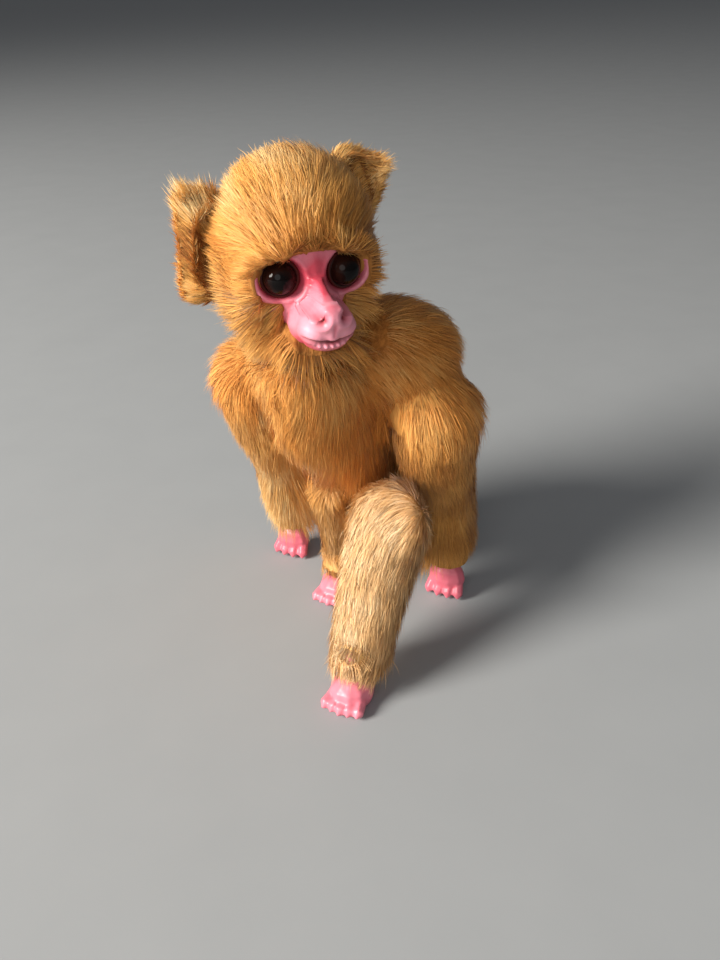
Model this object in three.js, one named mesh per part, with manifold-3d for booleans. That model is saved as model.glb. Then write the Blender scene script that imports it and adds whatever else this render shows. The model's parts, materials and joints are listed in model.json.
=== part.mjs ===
// Seated toy monkey: a hollow moulded body under glued fur pelts, with a turning head
// and four limbs that swing on two cross rods. Millimetres, +Z up. The chest faces -Y,
// the figure's left is +X, and the origin is on the flat seat face, at floor level.
import * as THREE from 'three';
import { mergeVertices } from 'three/addons/utils/BufferGeometryUtils.js';
import Module from 'manifold-3d';

const wasm = await Module();
wasm.setup();

// ---- driving dimensions -------------------------------------------------------------
const gap = 0.3;                  // play left between pieces that touch
const swingGap = 0.8;             // play round a limb's ball in its hollow
const wall = 1.8;                 // moulded shell wall

const torsoHeight = 78;           // floor to the neck line
const torsoHalfWidth = 12.6;      // pelt included, between the arms
const torsoFur = 3.6;
const bellyFloor = 44;            // the moulding is solid below this height

const shoulderHeight = 59;
const shoulderLean = -2.4;        // the chest leans this far to the figure's right
const shoulderY = -8;
const shoulderBall = 12.6;        // radius of the upper arm's round end, pelt included
const armClearance = 3.3;         // arm to trunk, on top of the play
const armRadius = 8.2;
const armFur = 2.8;
const wristHeight = 10.5;
const wristBack = 7;              // wrist behind the shoulder
const wristOut = 2.4;             // wrist to the figure's left of the shoulder
const handWidth = 11.5;

const hipHeight = 17;
const hipY = 0;
const hipBall = 8.2;              // radius of the thigh's round end about the hip rod
const hipHalfWidth = 6.2;         // half the thigh's width along the rod
const legFur = 2.8;
const leftKnee = { x: 18, y: -25, z: 35.5, radius: 10.6 };
const leftAnkle = { x: 18.2, y: -47, z: 8.5, radius: 7.6 };
const rightKnee = { x: -4, y: -15, z: 33, radius: 6.8 };
const rightAnkle = { x: -2.8, y: -12.4, z: 8, radius: 5.8 };
const hipSpacing = 16.4;
const footWidth = 11.6;
const footLength = 14.5;
// Angles about +X that each leg is cleared for; a positive one lowers the foot.
const rightLegSwing = [-6, 1, 8];
const leftLegSwing = [-3, 5, 14, 22];

const headWidth = 37;             // pelt included, ears left out
const headDepth = 38;
const headHeight = 42.5;
const headFur = 4;
const headTurn = 46;              // degrees the head looks to the figure's left at rest
const neckX = -3.5;
const neckY = -25;
const neckPegRadius = 3.6;
const neckLine = 0.6;             // open line between the head's pelt and the body's

const faceHalfWidth = 10.6;
const faceHalfHeight = 10.8;
const muzzleHalfWidth = 6.2;
const muzzleReach = 11.5;         // how far the muzzle stands out from the skull
const eyeRadius = 3.5;
const eyeSpacing = 13.4;
const earLength = 15;             // how far the ear reaches from its root
const earHeight = 19;
const earHalfThickness = 3.4;
const earLean = 18;               // degrees each ear leans out at the top
const leftEarLift = 8;            // the left ear sits this much higher, and half as much further back

const rodRadius = 1.5;

// ---- finishes -----------------------------------------------------------------------
function finish(color, roughness, metalness = 0) {
  return new THREE.MeshStandardMaterial({ color, roughness, metalness });
}

// ---- solids -------------------------------------------------------------------------
function solid(geometry) {
  const bare = geometry.clone();
  bare.deleteAttribute('normal');
  bare.deleteAttribute('uv');
  const merged = mergeVertices(bare, 1e-4);
  return new wasm.Manifold(new wasm.Mesh({
    numProp: 3,
    vertProperties: Float32Array.from(merged.attributes.position.array),
    triVerts: Uint32Array.from(merged.index.array),
  }));
}

function mesh(name, body, material) {
  const data = mainBody(body).getMesh();
  const geometry = new THREE.BufferGeometry();
  const points = Float32Array.from(data.vertProperties);
  geometry.setAttribute('position', new THREE.BufferAttribute(points, 3));
  geometry.setIndex(new THREE.BufferAttribute(Uint32Array.from(data.triVerts), 1));
  geometry.computeVertexNormals();
  const piece = new THREE.Mesh(geometry, material);
  piece.name = name;
  return piece;
}

function box(low, high) {
  const size = new THREE.Vector3().subVectors(high, low);
  const geometry = new THREE.BoxGeometry(size.x, size.y, size.z);
  geometry.translate((low.x + high.x) / 2, (low.y + high.y) / 2, (low.z + high.z) / 2);
  return solid(geometry);
}

function ellipsoid(centre, half, sides = 14, rings = 10) {
  const geometry = new THREE.SphereGeometry(1, sides, rings);
  geometry.rotateX(Math.PI / 2);
  geometry.scale(half.x, half.y, half.z);
  geometry.translate(centre.x, centre.y, centre.z);
  return solid(geometry);
}

function ball(centre, radius, sides = 14, rings = 10) {
  return ellipsoid(centre, new THREE.Vector3(radius, radius, radius), sides, rings);
}

function crossRod(fromX, toX, y, z, radius, sides = 12) {
  const geometry = new THREE.CylinderGeometry(radius, radius, toX - fromX, sides);
  geometry.rotateZ(Math.PI / 2);
  geometry.translate((fromX + toX) / 2, y, z);
  return solid(geometry);
}

function capsule(from, to, radius, sides = 6) {
  const along = new THREE.Vector3().subVectors(to, from);
  const geometry = new THREE.CapsuleGeometry(radius, along.length(), 1, sides);
  const up = new THREE.Vector3(0, 1, 0);
  geometry.applyQuaternion(new THREE.Quaternion().setFromUnitVectors(up, along.clone().normalize()));
  geometry.translate((from.x + to.x) / 2, (from.y + to.y) / 2, (from.z + to.z) / 2);
  return solid(geometry);
}

const at = (x, y, z) => new THREE.Vector3(x, y, z);
const far = 200;                  // beyond every side of the figure
const capLifts = [0.45, 0.82];    // where a rounded end has its extra rings, as shares of its height

// A rounded body drawn through stations { at, w, d }: w is the half width along X and d the
// half depth in the station's own plane. level keeps every section parallel to the floor, and
// grow pushes the surface out. dome and startDome are the ends' heights over their depth.
function loft(stations, form = {}) {
  const { grow = 0, sides = 12, steps = 2, level = false, dome = 0.3, startDome = dome } = form;
  const path = new THREE.CatmullRomCurve3(stations.map((s) => s.at), false, 'centripetal');
  const sizes = new THREE.CatmullRomCurve3(stations.map((s) => at(s.w, s.d, 0)), false, 'catmullrom', 0.5);
  const count = (stations.length - 1) * steps;
  const rings = [];
  for (let i = 0; i <= count; i += 1) {
    const t = i / count;
    const size = sizes.getPoint(t);
    const along = path.getTangent(t);
    rings.push({ at: path.getPoint(t), along, w: size.x + grow, d: size.y + grow });
  }
  const capped = [];
  const addCap = (ring, sign) => {
    const reach = ring.d * (sign < 0 ? startDome : dome);
    const along = level ? at(0, 0, Math.sign(ring.along.z)) : ring.along;
    for (const lift of capLifts) {
      const shrink = Math.sqrt(1 - lift * lift);
      const centre = ring.at.clone().addScaledVector(along, sign * lift * reach);
      capped.push({ at: centre, along: ring.along, w: ring.w * shrink, d: ring.d * shrink });
    }
    return ring.at.clone().addScaledVector(along, sign * reach);
  };
  const firstPole = addCap(rings[0], -1);
  const before = capped.splice(0).reverse();
  const lastPole = addCap(rings[count], 1);
  const all = [...before, ...rings, ...capped];

  const points = [firstPole.x, firstPole.y, firstPole.z];
  for (const ring of all) {
    const across = level ? at(0, 1, 0) : at(0, ring.along.z, -ring.along.y).normalize();
    for (let k = 0; k < sides; k += 1) {
      const angle = (2 * Math.PI * k) / sides;
      const p = ring.at.clone().addScaledVector(across, ring.d * Math.sin(angle));
      p.x += ring.w * Math.cos(angle);
      points.push(p.x, p.y, p.z);
    }
  }
  points.push(lastPole.x, lastPole.y, lastPole.z);
  const last = points.length / 3 - 1;
  const faces = [];
  const index = (ring, k) => 1 + ring * sides + (k % sides);
  for (let k = 0; k < sides; k += 1) {
    faces.push(0, index(0, k + 1), index(0, k));
    for (let r = 0; r + 1 < all.length; r += 1) {
      faces.push(index(r, k), index(r, k + 1), index(r + 1, k + 1));
      faces.push(index(r, k), index(r + 1, k + 1), index(r + 1, k));
    }
    faces.push(last, index(all.length - 1, k), index(all.length - 1, k + 1));
  }
  const geometry = new THREE.BufferGeometry();
  geometry.setAttribute('position', new THREE.Float32BufferAttribute(points, 3));
  geometry.setIndex(faces);
  return solid(geometry);
}

// The largest of a body's separate parts, with closed pockets inside it filled in.
function mainBody(body) {
  return body.decompose()
    .reduce((best, one) => (one.volume() > best.volume() ? one : best));
}

const below = (z) => box(at(-far, -far, -far), at(far, far, z));
const above = (z) => box(at(-far, -far, z), at(far, far, far));

// ---- limb outlines, drawn where they stand at rest ----------------------------------
const armPlane = torsoHalfWidth + gap + armRadius + armClearance;
const shoulders = [-1, 1].map((side) => at(shoulderLean + side * armPlane, shoulderY, shoulderHeight));
const hips = [-1, 1].map((side) => at(side * hipSpacing / 2, hipY, hipHeight));
const limbForm = { sides: 12, steps: 1, startDome: 1 };
const sweepForm = { sides: 7, steps: 1, startDome: 1, grow: swingGap + 1 };

function armStations(pivot) {
  const reach = shoulderHeight - wristHeight;
  const station = (share, dy, radius) => (
    { at: at(pivot.x + wristOut * share, pivot.y + dy, shoulderHeight - share * reach), w: radius, d: radius });
  return [
    station(0, 0, shoulderBall),
    station(0.26, 0.2 * wristBack, armRadius + 2),
    station(0.52, 0.75 * wristBack, armRadius + 0.2),
    station(0.78, 0.95 * wristBack, armRadius - 0.4),
    station(1, wristBack, armRadius - 1.8),
  ];
}

// A leg is two straight runs that share the knee's round end.
function legChains(pivot, knee, ankle) {
  const kneePoint = at(knee.x, knee.y, knee.z);
  const anklePoint = at(ankle.x, ankle.y, ankle.z);
  const thigh = pivot.clone().lerp(kneePoint, 0.5);
  const round = { at: kneePoint, w: knee.radius, d: knee.radius };
  const shin = (share, radius) => (
    { at: kneePoint.clone().lerp(anklePoint, share), w: radius, d: radius });
  return [
    [
      { at: pivot, w: hipHalfWidth, d: hipBall },
      { at: thigh.setX(pivot.x + 0.15 * (knee.x - pivot.x)), w: hipHalfWidth, d: hipBall },
      round,
    ],
    [
      round,
      shin(0.35, knee.radius * 0.9),
      shin(0.7, (knee.radius + ankle.radius) * 0.46),
      shin(1, ankle.radius),
    ],
  ];
}

function limbBody(chains, form) {
  const domeOf = (i) => (i + 1 < chains.length ? 1 : 0.3);
  return chains.map((stations, i) => loft(stations, { ...form, dome: domeOf(i) }))
    .reduce((all, one) => all.add(one));
}

// The space a limb passes through as it swings about its rod.
function swept(chains, pivot, angles) {
  const body = limbBody(chains, sweepForm).translate(-pivot.x, -pivot.y, -pivot.z);
  return angles.map((angle) => body.rotate(angle, 0, 0).translate(pivot.x, pivot.y, pivot.z))
    .reduce((all, one) => all.add(one));
}

const rightLeg = legChains(hips[0], rightKnee, rightAnkle);
const leftLeg = legChains(hips[1], leftKnee, leftAnkle);

// ---- torso --------------------------------------------------------------------------
// The two halves meet on a plane through the shoulder rod that runs out at the belly's foot.
const seamAtFloor = -7.6;
const seamSlope = (shoulderY - seamAtFloor) / shoulderHeight;

function frontOfSeam(shift) {
  const shape = new THREE.Shape();
  const seamTop = seamAtFloor + shift + far * seamSlope;
  const seamBottom = seamAtFloor + shift - far * seamSlope;
  shape.moveTo(-far, -far);
  shape.lineTo(seamBottom, -far);
  shape.lineTo(seamTop, far);
  shape.lineTo(-far, far);
  shape.closePath();
  const geometry = new THREE.ExtrudeGeometry(shape, { depth: 2 * far, bevelEnabled: false });
  geometry.rotateX(Math.PI / 2);
  geometry.rotateZ(Math.PI / 2);
  geometry.translate(-far, 0, 0);
  return solid(geometry);
}

// The stations are drawn for a neck line at 78 and a half width of 12.6.
const up = torsoHeight / 78;
const broad = torsoHalfWidth / 12.6;
const torsoStations = [
  { at: at(0, 0, -2 * up), w: 10.5 * broad, d: 9.2 },
  { at: at(0, 3.2, 9 * up), w: 12.2 * broad, d: 10.8 },
  { at: at(0, 5, 24 * up), w: 12.4 * broad, d: 11.4 },
  { at: at(0, 3.4, 37 * up), w: 12.5 * broad, d: 13.6 },
  { at: at(0.6 * shoulderLean, -3, 46 * up), w: 12.6 * broad, d: 20 },
  { at: at(shoulderLean, -9.5, 56 * up), w: 12.6 * broad, d: 23.6 },
  { at: at(shoulderLean - 0.4, -15, 66 * up), w: 12.6 * broad, d: 20.6 },
  { at: at(-3, -20.5, 73 * up), w: 12.2 * broad, d: 15.5 },
  { at: at(neckX, neckY + 0.4, torsoHeight + 2), w: 10.4 * broad, d: 10.8 },
];
const torsoForm = { sides: 14, steps: 2, level: true, dome: 0.1 };
const torsoOutside = loft(torsoStations, torsoForm);
const torsoCore = loft(torsoStations, { ...torsoForm, grow: -torsoFur });
const torsoHollow = loft(torsoStations, { ...torsoForm, sides: 12, steps: 1, grow: -torsoFur - wall });

function limbHollows(extra) {
  const shoulderHollows = shoulders.map((centre) => ball(centre, shoulderBall + extra, 12, 8));
  const hipHalf = at(hipHalfWidth + extra, hipBall + extra, hipBall + extra);
  const hipHollows = hips.map((centre) => ellipsoid(centre, hipHalf, 12, 8));
  return [...shoulderHollows, ...hipHollows].reduce((all, one) => all.add(one));
}

const rodPastPivot = 2.5;         // a rod's end, beyond the middle of the limb
const borePastRod = 0.3;
function shoulderRodAt(radius, reach) {
  const past = rodPastPivot + reach;
  return crossRod(shoulders[0].x - past, shoulders[1].x + past, shoulderY, shoulderHeight, radius);
}

function hipRodAt(radius, reach) {
  const end = hipSpacing / 2 + rodPastPivot + reach;
  return crossRod(-end, end, hipY, hipHeight, radius);
}

const neckPegLength = 11;
const neckFlange = neckPegRadius + 0.8;
function upright(radius, low, high, x, y, sides = 16) {
  return solid(new THREE.CylinderGeometry(radius, radius, high - low, sides)
    .rotateX(Math.PI / 2).translate(x, y, (low + high) / 2));
}
const flangeAt = torsoHeight - neckPegLength;
const neckHole = upright(neckPegRadius + gap, flangeAt, torsoHeight + 5, neckX, neckY)
  .add(upright(neckFlange + gap, flangeAt - 3, flangeAt + 2, neckX, neckY));

const roomForLimbs = limbHollows(swingGap)
  .add(swept(rightLeg, hips[0], rightLegSwing))
  .add(swept(leftLeg.slice(0, 1), hips[1], leftLegSwing));
// The moulding is solid up to the belly, and hollow from there to the neck.
const shoulderWalls = shoulders.map((centre) => ball(centre, shoulderBall + swingGap + wall, 12, 8));
const kneeWall = swept(leftLeg.slice(0, 1), hips[1], [leftLegSwing[0]]).translate(0, wall, wall);
const hollow = torsoHollow.subtract(shoulderWalls[0]).subtract(shoulderWalls[1]).subtract(kneeWall)
  .intersect(above(bellyFloor))
  .subtract(above(torsoHeight - neckLine - torsoFur / 2 - wall));
const shell = torsoCore.subtract(roomForLimbs).intersect(above(0))
  .subtract(above(torsoHeight - neckLine - torsoFur / 2))
  .subtract(hollow)
  .subtract(neckHole)
  .subtract(shoulderRodAt(rodRadius + gap, 1))
  .subtract(hipRodAt(rodRadius + gap, 1));
const pelt = torsoOutside.intersect(above(gap)).subtract(above(torsoHeight - neckLine))
  .subtract(loft(torsoStations, { ...torsoForm, grow: gap - torsoFur }))
  .subtract(neckHole)
  .subtract(shoulderRodAt(rodRadius + gap, 1))
  .subtract(hipRodAt(rodRadius + gap, 1))
  .subtract(roomForLimbs);

const furColor = 0xc98d4a;
const shellColor = 0xb9a88a;
const pinkColor = 0xe27a94;

const torso = new THREE.Group();
torso.add(mesh('torso_front_shell', shell.intersect(frontOfSeam(-gap / 2)), finish(shellColor, 0.7)));
torso.add(mesh('torso_back_shell', shell.subtract(frontOfSeam(gap / 2)), finish(shellColor, 0.7)));
torso.add(mesh('chest_pelt', pelt.intersect(frontOfSeam(-gap / 2)), finish(furColor, 0.95)));
torso.add(mesh('back_pelt', pelt.subtract(frontOfSeam(gap / 2)), finish(furColor, 0.95)));
torso.add(mesh('shoulder_rod', shoulderRodAt(rodRadius, 0), finish(0x9a9a98, 0.35, 1)));
torso.add(mesh('hip_rod', hipRodAt(rodRadius, 0), finish(0x9a9a98, 0.35, 1)));

// ---- head, drawn about the neck axis with the face towards -Y -----------------------
const head = new THREE.Group();
head.position.set(neckX, neckY, torsoHeight);
head.rotation.z = THREE.MathUtils.degToRad(headTurn);

const headCentre = at(0, -1, headHeight / 2 + 0.5);
const headHalf = at(headWidth / 2, headDepth / 2, headHeight / 2);
const shrunk = (by) => headHalf.clone().subScalar(by);
const headOutside = ellipsoid(headCentre, headHalf, 20, 14);
const skull = ellipsoid(headCentre, shrunk(headFur), 18, 12);
const skullHollow = ellipsoid(headCentre, shrunk(headFur + wall), 14, 10);

const faceCentreZ = headCentre.z - 6.4;
const faceFront = headCentre.y - headDepth / 2 + headFur;
function faceOpening(extra) {
  const geometry = new THREE.CylinderGeometry(1, 1, 40, 16);
  geometry.scale(faceHalfWidth + extra, 1, faceHalfHeight + extra);
  geometry.translate(0, faceFront + 7 - 20, faceCentreZ);
  return solid(geometry);
}

const muzzleCentre = at(0, faceFront + 0.5, faceCentreZ - faceHalfHeight + 6.3);
const muzzle = ellipsoid(muzzleCentre, at(muzzleHalfWidth, muzzleReach + 0.5, 6), 12, 8);
const noseHeight = muzzleCentre.z + 2.6;
const noseFront = faceFront - muzzleReach;
const nose = ellipsoid(at(0, noseFront + 1.8, noseHeight), at(3.2, 2.4, 2.6), 8, 6);
const brow = ellipsoid(headCentre, shrunk(headFur - 1.2), 16, 10);
const facePlate = brow.subtract(skullHollow).intersect(faceOpening(0));
const eyeCentre = (side) => at(side * eyeSpacing / 2, faceFront + 2.2, faceCentreZ + 5);
const eyeStemEnd = 6.5;
function eyeBody(side, extra) {
  const centre = eyeCentre(side);
  const stem = new THREE.CylinderGeometry(1.1 + extra, 1.1 + extra, eyeStemEnd + extra, 10);
  stem.translate(centre.x, centre.y + (eyeStemEnd + extra) / 2, centre.z);
  return ball(centre, eyeRadius + extra, 12, 8).add(solid(stem));
}
const nostrilRadius = 0.7;
const nostrilX = 1.5;
const nostril = (side) => capsule(
  at(side * nostrilX, noseFront - 1, noseHeight + 0.2),
  at(side * nostrilX, noseFront + 1.6, noseHeight + 0.6), nostrilRadius, 8);
const lipLine = muzzleCentre.z - 2.6;
const mouthHalf = 4;
const mouth = capsule(at(-mouthHalf, noseFront + 2.2, lipLine),
  at(mouthHalf, noseFront + 2.2, lipLine), 0.8, 8);

const face = facePlate.add(muzzle.subtract(skullHollow)).add(nose)
  .subtract(eyeBody(1, gap).add(eyeBody(-1, gap)))
  .subtract(nostril(1)).subtract(nostril(-1)).subtract(mouth);

const pegTop = 8;
const headHole = upright(neckPegRadius + gap, pegTop - 40 + gap, pegTop + gap, 0, 0);
const eyeRoom = eyeBody(1, gap).add(eyeBody(-1, gap));
const headShell = skull.subtract(skullHollow).subtract(headHole).subtract(faceOpening(gap))
  .subtract(muzzle.add(nose)).subtract(eyeRoom);
const headSeam = headCentre.y + 1.5;
const frontHalf = (shift) => box(at(-far, -far, -far), at(far, headSeam + shift, far));
const peltSeam = 4;               // the pelts meet this far behind the shells' seam
const muzzleRoom = ellipsoid(muzzleCentre, at(muzzleHalfWidth + 1, muzzleReach + 1, 6 + 1), 12, 8);
const headPelt = headOutside.subtract(ellipsoid(headCentre, shrunk(headFur - gap), 18, 12))
  .subtract(headHole).subtract(faceOpening(2 * gap)).subtract(eyeRoom)
  .subtract(muzzleRoom).intersect(above(0.2));

function ear(side) {
  const lift = side > 0 ? leftEarLift : 0;
  const root = at(side * (headHalf.x - 3), headCentre.y + 2 + lift / 2, headCentre.z - 1 + lift);
  const tip = earLength / 2;
  const outside = ellipsoid(at(0, 0, 0), at(tip, earHalfThickness, earHeight / 2), 12, 8);
  const cup = ellipsoid(at(tip * 0.12, -earHalfThickness, 0.4), at(tip * 0.7, 4, earHeight * 0.34), 10, 8);
  const shape = outside.subtract(cup)
    .rotate(0, -side * earLean, 0)
    .translate(root.x + side * tip * 0.5, root.y, root.z + tip * 0.3);
  return shape.subtract(ellipsoid(headCentre, shrunk(-gap - 0.2), 20, 14));
}

function neckPeg() {
  const bottom = -neckPegLength;
  const flangeTop = bottom + 1.6;
  const profile = [
    [0, bottom], [neckFlange, bottom], [neckFlange, flangeTop], [neckPegRadius, flangeTop],
    [neckPegRadius, pegTop], [0, pegTop],
  ].map(([x, y]) => new THREE.Vector2(x, y));
  return solid(new THREE.LatheGeometry(profile, 16).rotateX(Math.PI / 2));
}

head.add(mesh('head_front_shell', headShell.intersect(frontHalf(-gap / 2)), finish(shellColor, 0.7)));
head.add(mesh('head_back_shell', headShell.subtract(frontHalf(gap / 2)), finish(shellColor, 0.7)));
head.add(mesh('face_mask', face, finish(pinkColor, 0.45)));
head.add(mesh('eye_right', eyeBody(-1, 0), finish(0x120807, 0.08)));
head.add(mesh('eye_left', eyeBody(1, 0), finish(0x120807, 0.08)));
head.add(mesh('crown_pelt', headPelt.intersect(frontHalf(peltSeam - gap / 2)), finish(0xd9a55c, 0.95)));
head.add(mesh('nape_pelt', headPelt.subtract(frontHalf(peltSeam + gap / 2)), finish(0xd9a55c, 0.95)));
head.add(mesh('ear_right', ear(-1), finish(furColor, 0.95)));
head.add(mesh('ear_left', ear(1), finish(furColor, 0.95)));
head.add(mesh('neck_peg', neckPeg(), finish(shellColor, 0.6)));

// ---- limbs: a core on the cross rod, a sleeve of pelt, and a moulded hand or foot ----
const tenonRadius = 2.6;
const tenonLength = 6;
const peltEdge = 1.2;             // bare wrist or ankle between the pelt and the pink piece

const peg = (from, downTo, radius) => upright(radius, downTo, from.z, from.x, from.y, 12);

function fingers(palm, width, reach, count, radius) {
  const made = [];
  for (let i = 0; i < count; i += 1) {
    const across = (i - (count - 1) / 2) / (count - 1);
    const spread = across * (width - 2 * radius);
    const start = at(palm.x + spread * 0.8, palm.y, palm.z);
    const shortfall = 1.6 * Math.abs(across);
    made.push(capsule(start, at(palm.x + spread, palm.y - reach + shortfall, radius), radius));
  }
  return made.reduce((all, one) => all.add(one));
}

function hand(wrist) {
  const palmHalf = at(handWidth * 0.46, 3.6, wristHeight * 0.5);
  const palm = ellipsoid(at(wrist.x, wrist.y - 1.2, wristHeight * 0.5), palmHalf, 10, 6);
  const row = fingers(at(wrist.x, wrist.y - 1.2, wristHeight * 0.45), handWidth, 3.4, 4, 1.6);
  const stem = peg(at(wrist.x, wrist.y, wristHeight + tenonLength), wristHeight * 0.5, tenonRadius);
  return palm.add(row).add(stem).intersect(above(0));
}

function foot(ankle) {
  const soleHalf = at(footWidth * 0.48, footLength * 0.42, 4.6);
  const sole = ellipsoid(at(ankle.x, ankle.y - 2.4, 2.6), soleHalf, 10, 6);
  const toeRoot = at(ankle.x, ankle.y - footLength * 0.28, 2.6);
  const toes = fingers(toeRoot, footWidth, footLength * 0.34, 5, 1.6);
  const stem = peg(at(ankle.x, ankle.y, ankle.z + tenonLength), 2, tenonRadius);
  return sole.add(toes).add(stem).intersect(above(0));
}

// Adds the three pieces of one limb to a group that stands at its pivot.
function limb(name, pivot, chains, fur, end, endPiece, endName) {
  const lastRun = chains[chains.length - 1];
  const beyond = lastRun[lastRun.length - 1];
  const lower = { ...beyond, at: beyond.at.clone().setZ(beyond.at.z - 8) };
  const longer = [...chains.slice(0, -1), [...lastRun.slice(0, -1), lower]];
  const tenonTop = at(end.x, end.y, end.z + tenonLength + gap);
  const room = endPiece.add(peg(tenonTop, end.z - 2, tenonRadius + gap));
  const boreEnd = pivot.x + Math.sign(pivot.x) * (rodPastPivot + borePastRod);
  const bore = crossRod(Math.min(boreEnd, 0), Math.max(boreEnd, 0), pivot.y, pivot.z, rodRadius + gap);
  const outside = limbBody(longer, limbForm);
  const core = limbBody(longer, { ...limbForm, grow: -fur });
  const inside = limbBody(longer, { ...limbForm, grow: gap - fur });
  const coreEnd = end.z + 0.8;
  const coreBody = core.subtract(bore).subtract(below(coreEnd)).subtract(room);
  const sleeve = outside.subtract(inside).subtract(core).subtract(bore)
    .subtract(below(end.z - peltEdge)).subtract(grown(endPiece));
  const group = new THREE.Group();
  group.position.copy(pivot);
  const local = (body) => body.translate(-pivot.x, -pivot.y, -pivot.z);
  group.add(mesh(`${name}_core`, local(coreBody), finish(shellColor, 0.7)));
  group.add(mesh(`${name}_pelt`, local(sleeve), finish(0xd9b27a, 0.95)));
  group.add(mesh(endName, local(endPiece), finish(pinkColor, 0.45)));
  return group;
}

// The same body pushed out by the gap on all sides, near enough for a clearance cut.
function grown(body) {
  const shifts = [[gap, 0, 0], [-gap, 0, 0], [0, gap, 0], [0, -gap, 0], [0, 0, gap], [0, 0, -gap]];
  return shifts.map((shift) => body.translate(...shift)).reduce((all, one) => all.add(one));
}

function arm(side, name) {
  const pivot = shoulders[side < 0 ? 0 : 1];
  const wrist = at(pivot.x + wristOut, pivot.y + wristBack, wristHeight);
  return limb(`arm_${name}`, pivot, [armStations(pivot)], armFur, wrist, hand(wrist), `hand_${name}`);
}

function leg(name, pivot, chains, ankle) {
  const end = at(ankle.x, ankle.y, ankle.z);
  return limb(`leg_${name}`, pivot, chains, legFur, end, foot(end), `foot_${name}`);
}

const figure = new THREE.Group();
figure.add(torso, head);
figure.add(arm(-1, 'right'), arm(1, 'left'));
figure.add(leg('right', hips[0], rightLeg, rightAnkle));
figure.add(leg('left', hips[1], leftLeg, leftAnkle));

export default figure;
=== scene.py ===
import json
import math

import bmesh
import bpy
import numpy as np
from mathutils import Matrix, Vector, kdtree, noise


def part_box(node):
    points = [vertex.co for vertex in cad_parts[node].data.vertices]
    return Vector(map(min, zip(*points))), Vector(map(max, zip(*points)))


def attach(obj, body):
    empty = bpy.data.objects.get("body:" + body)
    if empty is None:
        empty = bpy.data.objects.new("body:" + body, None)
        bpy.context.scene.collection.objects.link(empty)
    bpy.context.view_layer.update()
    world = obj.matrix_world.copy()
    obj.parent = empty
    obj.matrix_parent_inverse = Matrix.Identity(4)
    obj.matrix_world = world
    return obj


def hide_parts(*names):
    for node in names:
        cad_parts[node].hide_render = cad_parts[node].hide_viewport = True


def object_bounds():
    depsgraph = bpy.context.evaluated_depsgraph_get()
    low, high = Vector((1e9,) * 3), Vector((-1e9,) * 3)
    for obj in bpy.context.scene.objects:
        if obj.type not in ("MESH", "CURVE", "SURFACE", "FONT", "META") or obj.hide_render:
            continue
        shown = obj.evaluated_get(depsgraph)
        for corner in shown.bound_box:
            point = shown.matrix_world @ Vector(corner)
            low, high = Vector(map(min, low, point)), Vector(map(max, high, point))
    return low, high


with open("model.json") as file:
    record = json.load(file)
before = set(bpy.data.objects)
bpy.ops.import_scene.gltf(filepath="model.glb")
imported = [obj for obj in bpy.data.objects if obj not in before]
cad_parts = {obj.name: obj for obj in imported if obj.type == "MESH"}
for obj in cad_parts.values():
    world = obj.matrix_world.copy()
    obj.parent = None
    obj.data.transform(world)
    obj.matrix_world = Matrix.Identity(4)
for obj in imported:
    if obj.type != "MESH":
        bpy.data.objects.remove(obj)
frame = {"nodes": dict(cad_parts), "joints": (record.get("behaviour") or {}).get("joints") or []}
cad_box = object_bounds()

# ---- Torso hide -------------------------------------------------------------------------
# The hide is a pelt cut in a chest piece and a back piece, glued round the hollow moulded
# body with the skin side in. Its leather is thin and tan, with dense amber underfur.
MM = 0.001
scene = bpy.context.scene
nodes = frame["nodes"]
joint_at = {joint["name"]: np.array(joint["pos_m"]) for joint in frame["joints"]}


def middle(node):
    low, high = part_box(node)
    return np.array((low + high) / 2)


def unit(vectors):
    size = np.linalg.norm(vectors, axis=-1, keepdims=True)
    return vectors / np.maximum(size, 1e-12)


def eased(value, low, high):
    share = ((value - low) / (high - low)).clip(0, 1)
    return share * share * (3 - 2 * share)


def piece_of(name, mesh):
    piece = bpy.data.objects.new(name, mesh)
    scene.collection.objects.link(piece)
    return piece


def settled(piece):
    """The piece with its modifiers applied to its mesh."""
    graph = bpy.context.evaluated_depsgraph_get()
    mesh = bpy.data.meshes.new_from_object(piece.evaluated_get(graph))
    piece.modifiers.clear()
    piece.data = mesh
    mesh.name = piece.name
    mesh.shade_smooth()
    return piece


def remeshed(piece, grain):
    skin = piece.modifiers.new("skin", "REMESH")
    skin.mode = "VOXEL"
    skin.voxel_size = grain


def relaxed(piece, passes):
    relax = piece.modifiers.new("relax", "SMOOTH")
    relax.factor = 0.5
    relax.iterations = passes


def skinned(name, covered, grain, passes, swell=0.0, stuffing=()):
    """One smooth skin drawn over the solids named in covered and balls of stuffing."""
    joined = bmesh.new()
    for node in covered:
        joined.from_mesh(nodes[node].data)
    for centre, half in stuffing:
        shape = Matrix.Translation(centre) @ Matrix.Diagonal((*half, 1))
        bmesh.ops.create_icosphere(joined, subdivisions=4, radius=1.0, matrix=shape)
    mesh = bpy.data.meshes.new(name)
    joined.to_mesh(mesh)
    joined.free()
    piece = piece_of(name, mesh)
    remeshed(piece, grain)
    relaxed(piece, passes)
    if swell:
        grow = piece.modifiers.new("swell", "DISPLACE")
        grow.strength = swell
        grow.mid_level = 0.0
    return settled(piece)


def places(mesh, kind="co"):
    """Vertex positions or normals as an array."""
    held = np.zeros(len(mesh.vertices) * 3)
    source = mesh.vertices if kind == "co" else mesh.vertex_normals
    source.foreach_get("co" if kind == "co" else "vector", held)
    return held.reshape(-1, 3)


def moved_to(mesh, points):
    mesh.vertices.foreach_set("co", points.ravel())
    mesh.update()


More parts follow.
